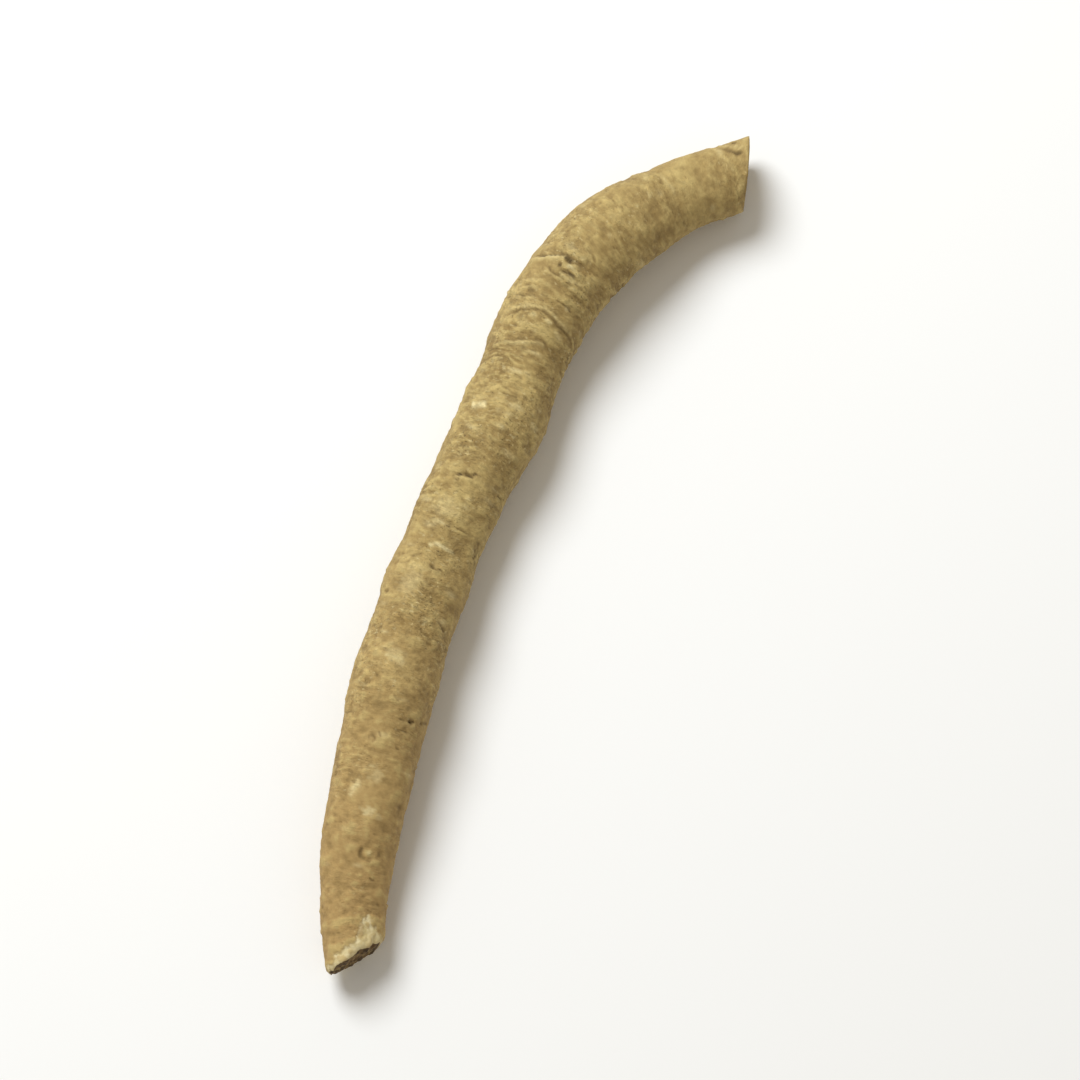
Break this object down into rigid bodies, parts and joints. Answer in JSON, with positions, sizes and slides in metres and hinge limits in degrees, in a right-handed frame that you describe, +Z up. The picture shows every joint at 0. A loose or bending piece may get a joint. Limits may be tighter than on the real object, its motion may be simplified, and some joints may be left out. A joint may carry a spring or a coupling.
{
  "type": "dried ashwagandha root",
  "caption": "Dried medicinal root lying on its side: a slender, gently bent, knobbly woody stick, cut clean at the crown and snapped off at its thin tip.",
  "frame": {"origin": "centre of the underside of the object's box, on the surface that the root lies on", "axes": "+Z up, +Y along the root from its snapped tip towards its cut crown, +X to the side that the crown bends to"},
  "size_m": [0.0566, 0.1135, 0.0132],
  "materials": {
    "bark": "dry matte bark"
  },
  "bodies": {
    "root": {"ashwagandha_root": "bark"}
  },
  "joints": []
}
